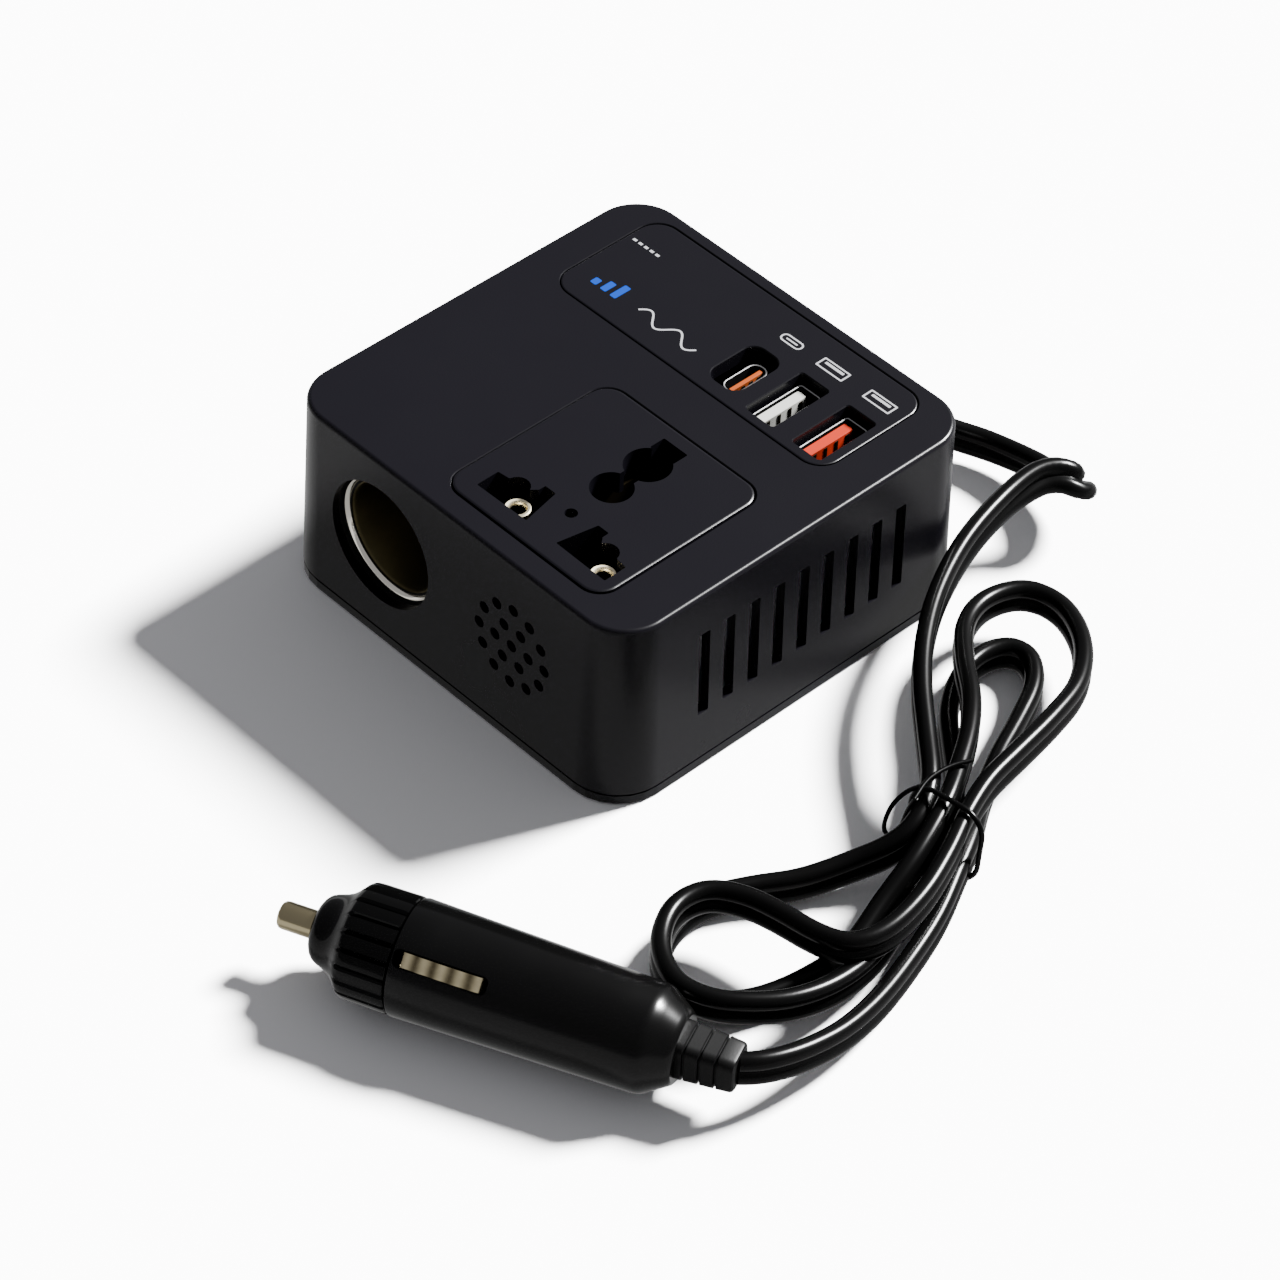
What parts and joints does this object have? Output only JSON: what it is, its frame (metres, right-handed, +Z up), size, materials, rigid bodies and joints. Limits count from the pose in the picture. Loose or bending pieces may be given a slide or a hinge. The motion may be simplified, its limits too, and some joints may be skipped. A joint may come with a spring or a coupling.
{
  "type": "power inverter",
  "caption": "Square black car power inverter with a universal mains socket, USB ports, an accessory socket and a tied lead ending in a 12 V plug.",
  "frame": {"origin": "middle of the underside of the box, on the floor", "axes": "+Z up out of the top with the mains socket; -Y out of the face with the accessory socket and the fan grille; +X out of the face with the vent slots"},
  "size_m": [0.1592, 0.189, 0.0416],
  "materials": {
    "shell_black": "satin",
    "gloss_black": "gloss",
    "lead_black": "gloss",
    "rubber_black": "satin",
    "inner_black": "matte",
    "nickel": "polished",
    "brass": "satin",
    "steel": "satin",
    "aluminium": "satin",
    "board_green": "satin",
    "ferrite": "matte",
    "copper_winding": "satin",
    "can_blue": "satin",
    "tongue_white": "satin",
    "tongue_orange": "satin",
    "tongue_red": "satin",
    "fuse_glass": "gloss"
  },
  "bodies": {
    "inverter": {"upper_shell": "shell_black", "base_cover": "shell_black", "base_screw_1": "steel", "base_screw_2": "steel", "base_screw_3": "steel", "base_screw_4": "steel", "socket_plate": "shell_black", "socket_carrier": "inner_black", "live_contact": "brass", "neutral_contact": "brass", "earth_contact": "brass", "socket_screw": "steel", "usb_panel": "shell_black", "usb_c_can": "steel", "usb_a_can_1": "steel", "usb_a_can_2": "steel", "usb_c_tongue": "tongue_orange", "usb_a_tongue_1": "tongue_white", "usb_a_tongue_2": "tongue_red", "socket_sleeve": "nickel", "socket_cup": "inner_black", "fan_frame": "inner_black", "main_board": "board_green", "usb_board": "board_green", "transformer_core": "ferrite", "transformer_winding": "copper_winding", "choke": "copper_winding", "capacitor_1": "can_blue", "capacitor_2": "can_blue", "capacitor_3": "can_blue", "heat_sink": "aluminium", "transistor_1": "inner_black", "transistor_2": "inner_black", "transistor_3": "inner_black", "transistor_4": "inner_black", "lead_gland": "rubber_black", "lead_tube": "lead_black", "lead_hank": "lead_black", "lead_tail": "lead_black", "cord_tie": "inner_black", "plug_body": "shell_black", "plug_tip_spring": "nickel", "plug_boot": "rubber_black"},
    "fan_rotor": {"fan_rotor": "inner_black"},
    "socket_contact": {"socket_centre_contact": "brass"},
    "plug_cap": {"plug_cap": "gloss_black"},
    "plug_tip": {"plug_tip": "nickel", "plug_fuse": "fuse_glass"},
    "plug_contact_1": {"plug_side_contact_1": "nickel"},
    "plug_contact_2": {"plug_side_contact_2": "nickel"}
  },
  "joints": [
    {"name": "fan_spin", "type": "hinge", "parent": "inverter", "child": "fan_rotor", "pos_m": [0.01716, -0.0395, 0.0227], "axis": [0, 1, 0], "continuous": true},
    {"name": "socket_contact_press", "type": "slide", "parent": "inverter", "child": "socket_contact", "axis": [0, 1, 0], "range_m": [0, 0.0012], "stiffness_N_per_m": 150},
    {"name": "plug_cap_turn", "type": "hinge", "parent": "inverter", "child": "plug_cap", "pos_m": [0.04363, -0.1023, 0.0105], "axis": [0.914, 0.4058, 0], "range_deg": [0, 720]},
    {"name": "plug_tip_press", "type": "slide", "parent": "inverter", "child": "plug_tip", "axis": [0.914, 0.4058, 0], "range_m": [0, 0.003], "stiffness_N_per_m": 200},
    {"name": "plug_contact_1_press", "type": "slide", "parent": "inverter", "child": "plug_contact_1", "axis": [-0.2819, 0.6349, -0.7193], "range_m": [0, 0.001], "stiffness_N_per_m": 150},
    {"name": "plug_contact_2_press", "type": "slide", "parent": "inverter", "child": "plug_contact_2", "axis": [0.2819, -0.6349, 0.7193], "range_m": [0, 0.001], "stiffness_N_per_m": 150}
  ]
}
